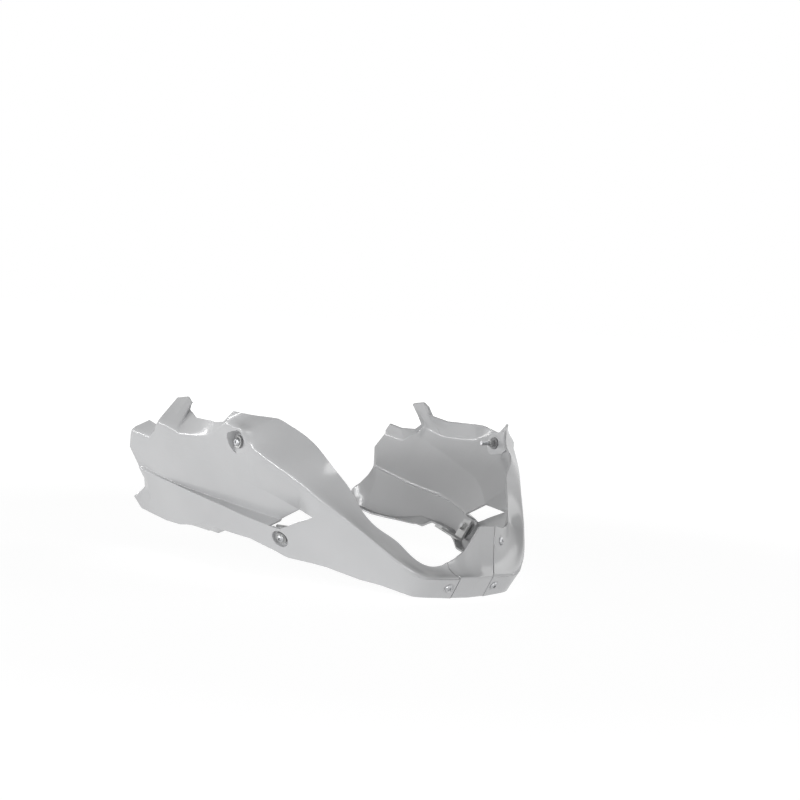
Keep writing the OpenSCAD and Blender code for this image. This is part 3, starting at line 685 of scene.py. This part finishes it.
def seam_tab(edges):
    """The tab behind the left band: the band's own surface, sunk, and carried on under the tongue."""
    t = np.linspace(0.04, 0.36, 9)
    s = np.linspace(262, seam_s, 18)
    band = free_edge_rise(s[:, None] + 0 * t, edges, t[None, :] + 0 * s[:, None])
    around = unit(np.cross(np.gradient(band, axis=0), np.gradient(band, axis=1)))
    around = around * np.sign(around[..., :1])
    behind = band - around * (tab_depth + 0.3)
    u = np.linspace(0.93, 0.75, 6)
    under = centre_rise(u[:, None] + 0 * t, t[None, :] + 0 * u[:, None]) - around[-1:] * (shell_t - 1)
    tab = sheet("seam_tab", np.concatenate([behind, under], 0))
    walled(tab, tab_t)
    return tab


grid = rounded(rounded(centre_surface(np.linspace(1, 0, 40)), 1, 2.0), 0, 1.6)
centre = sheet("front_center_shell", grid)
moulded(centre)
nose_pos, nose_axis = nose_seat()
band_pos, band_axis = band_seat(left_edges)
for on_right in (False, True):
    for high in ((tab_half, tab_high, -tab_depth), (tab_half, tab_root, -tab_root_depth)):
        tab = block((-tab_half, tab_low, -tab_depth - tab_t), high, nose_pos, nose_axis)
        if on_right:
            mirrored_y(tab)
        cut(centre, tab, "UNION")
cut(centre, seam_tab(left_edges), "UNION")
pad = block((-7, -8, -tab_depth - tab_t - pad_t), (7, 8, -tab_depth - pad_t), band_pos, band_axis)
cut(centre, pad, "UNION")
screw_hole = [(screw_hole_r, -12), (screw_hole_r, 12)]
for pos, axis, on_right in (
        (nose_pos, nose_axis, False), (nose_pos, nose_axis, True), (band_pos, band_axis, False)):
    hole = turned("hole", screw_hole, pos, axis)
    if on_right:
        mirrored_y(hole)
    cut(centre, hole)
finished(centre, "front_center_panel", plastic)

# Screws. Button heads with a hexagon socket, of stainless steel, in the nose, in the band and through the
# grommets. Their gloss varies from spot to spot, as on steel that has been handled.


def dress(words, finish):
    """The finish given to every CAD node whose name holds one of the words."""
    for name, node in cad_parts.items():
        if any(word in name for word in words):
            node.data.materials.clear()
            node.data.materials.append(finish)


screw_steel, tree, shader = new_finish("screw_steel")
shader.inputs["Metallic"].default_value = 1.0
shader.inputs["Base Color"].default_value = (0.5, 0.505, 0.515, 1)
spread(tree, clouds(tree, 600, 4), shader.inputs["Roughness"], 0.32, 0.46)
dress(["screw"], screw_steel)

# Washers, bushes, clip nuts and brackets. Pressed or turned steel with a dull zinc plating, whose tone
# varies in soft patches. The brackets are bent from sheet, with a nut welded behind.
zinc, tree, shader = new_finish("zinc_plate")
shader.inputs["Metallic"].default_value = 1.0
patches = clouds(tree, 140, 6)
toned(tree, patches, shader.inputs["Base Color"], (0.36, 0.365, 0.37), (0.55, 0.55, 0.54))
spread(tree, patches, shader.inputs["Roughness"], 0.38, 0.56)
dress(["washer", "bush", "nut", "bracket"], zinc)

# Grommets. Moulded rubber collars that sit in the panels' holes and take up the engine's shaking. A pale
# bloom lies on the dark rubber in small clouds.
rubber, tree, shader = new_finish("grommet_rubber")
toned(tree, clouds(tree, 300, 2), shader.inputs["Base Color"], (0.18, 0.18, 0.184), (0.26, 0.26, 0.265))
shader.inputs["Roughness"].default_value = 0.7
dress(["grommet"], rubber)

# The floor. A plain pale sheet level with the lowest edge, which glows like a light table and throws light
# up at the pan. It is part glow and part paint, with more paint near the pan, where it keeps the shadow.
floor_half = 60000.0
corners = floor_half * np.array([(-1, -1, 0), (1, -1, 0), (1, 1, 0), (-1, 1, 0)])
floor = new_piece("floor", corners, [(0, 1, 2, 3)])
floor_paint, tree, shader = new_finish("floor_paint")
shader.inputs["Base Color"].default_value = (0.86, 0.86, 0.86, 1)
shader.inputs["Roughness"].default_value = 0.9
glow = tree.nodes.new("ShaderNodeEmission")
glow.inputs["Color"].default_value = (1, 1, 1, 1)
glow.inputs["Strength"].default_value = 1.25
path = tree.nodes.new("ShaderNodeLightPath")
spot = tree.nodes.new("ShaderNodeTexCoord")
far_off = tree.nodes.new("ShaderNodeVectorMath")
far_off.operation = "LENGTH"
fade = tree.nodes.new("ShaderNodeMapRange")
fade.inputs["From Min"].default_value = 0.8
fade.inputs["From Max"].default_value = 4.0
fade.inputs["To Min"].default_value = 0.72
fade.inputs["To Max"].default_value = 1.0
share = tree.nodes.new("ShaderNodeMath")
share.operation = "MULTIPLY"
blend = tree.nodes.new("ShaderNodeMixShader")
spread(tree, path.outputs["Is Camera Ray"], share.inputs[0], 0.74, 1.0)
tree.links.new(spot.outputs["Object"], far_off.inputs[0])
tree.links.new(far_off.outputs["Value"], fade.inputs["Value"])
tree.links.new(fade.outputs["Result"], share.inputs[1])
tree.links.new(share.outputs["Value"], blend.inputs["Fac"])
tree.links.new(shader.outputs["BSDF"], blend.inputs[1])
tree.links.new(glow.outputs["Emission"], blend.inputs[2])
tree.links.new(blend.outputs["Shader"], tree.nodes["Material Output"].inputs["Surface"])
floor.data.materials.append(floor_paint)

# The room. White to the camera and in reflections, and for the rest a soft light that is strongest level
# with the pan and weakest overhead, so that faces that look up stay a little darker.
world = bpy.data.worlds.new("studio")
bpy.context.scene.world = world
world.use_nodes = True
tree = world.node_tree
dim = tree.nodes["Background"]
dim.inputs["Color"].default_value = (1, 1, 1, 1)
way = tree.nodes.new("ShaderNodeTexCoord")
split = tree.nodes.new("ShaderNodeSeparateXYZ")
dusk = tree.nodes.new("ShaderNodeMapRange")
dusk.inputs["From Max"].default_value = 0.75
dusk.inputs["To Min"].default_value = 0.48
dusk.inputs["To Max"].default_value = 0.06
seen = tree.nodes.new("ShaderNodeBackground")
seen.inputs["Color"].default_value = (1, 1, 1, 1)
seen.inputs["Strength"].default_value = 1.0
path = tree.nodes.new("ShaderNodeLightPath")
direct = tree.nodes.new("ShaderNodeMath")
direct.operation = "MAXIMUM"
blend = tree.nodes.new("ShaderNodeMixShader")
tree.links.new(way.outputs["Generated"], split.inputs["Vector"])
tree.links.new(split.outputs["Z"], dusk.inputs["Value"])
tree.links.new(dusk.outputs["Result"], dim.inputs["Strength"])
tree.links.new(path.outputs["Is Camera Ray"], direct.inputs[0])
tree.links.new(path.outputs["Is Glossy Ray"], direct.inputs[1])
tree.links.new(direct.outputs["Value"], blend.inputs["Fac"])
tree.links.new(dim.outputs["Background"], blend.inputs[1])
tree.links.new(seen.outputs["Background"], blend.inputs[2])
tree.links.new(blend.outputs["Shader"], tree.nodes["World Output"].inputs["Surface"])

# The lamps. Two long low strips on the pan's right draw the light lines along its folds, and two soft boxes
# light its nose and its left side.


def stand(thing, side, up, back, place_m):
    """The thing put in the scene with its own x, y and z along the three directions given."""
    bpy.context.collection.objects.link(thing)
    rows = [[side[k], up[k], back[k], place_m[k]] for k in range(3)]
    thing.matrix_world = Matrix(rows + [[0, 0, 0, 1]])


def soft_box(name, place_m, aim_m, wide_m, high_m, watts):
    """A flat lamp that faces its aim."""
    lamp = bpy.data.lights.new(name, "AREA")
    lamp.shape = "RECTANGLE"
    lamp.size, lamp.size_y = wide_m, high_m
    lamp.energy = watts
    back = unit(np.array(place_m, float) - np.array(aim_m, float))
    side = unit(np.cross([0, 0, 1], back))
    stand(bpy.data.objects.new(name, lamp), side, np.cross(back, side), back, place_m)


soft_box("strip", (0.5, -4.0, 0.6), (0.05, -0.1, 0.1), 4.6, 0.22, 78)
soft_box("rear strip", (-3.0, -2.8, 0.5), (-0.1, -0.2, 0.1), 2.8, 0.22, 24)
soft_box("front", (3.7, -1.0, 0.4), (0.1, 0, 0.1), 1.8, 1.2, 26)
soft_box("fill", (1.3, 3.6, 2.0), (0.2, 0, 0.1), 2.4, 2.4, 30)

# The camera. It stands where the photograph was taken: ahead of the pan on its right, almost level with
# it, and tilted a little to one side.
camera_m = np.array([1943.0, -1507.0, 356.0]) * MM
yaw, pitch, roll = math.radians(140.979), math.radians(-2.715), math.radians(3.642)
focal_px, image_px, sensor_mm = 1774.1, 800, 36
look = np.array([math.cos(pitch) * math.cos(yaw), math.cos(pitch) * math.sin(yaw), math.sin(pitch)])
across = unit(np.cross(look, [0, 0, 1]))
upright = np.cross(across, look)
cam_x = math.cos(roll) * across + math.sin(roll) * upright
cam_y = -math.sin(roll) * across + math.cos(roll) * upright
lens = bpy.data.cameras.new("camera")
lens.sensor_width = sensor_mm
lens.lens = focal_px / image_px * sensor_mm
camera = bpy.data.objects.new("camera", lens)
stand(camera, cam_x, cam_y, -look, camera_m)
bpy.context.scene.camera = camera
bpy.context.scene.view_settings.view_transform = "Standard"
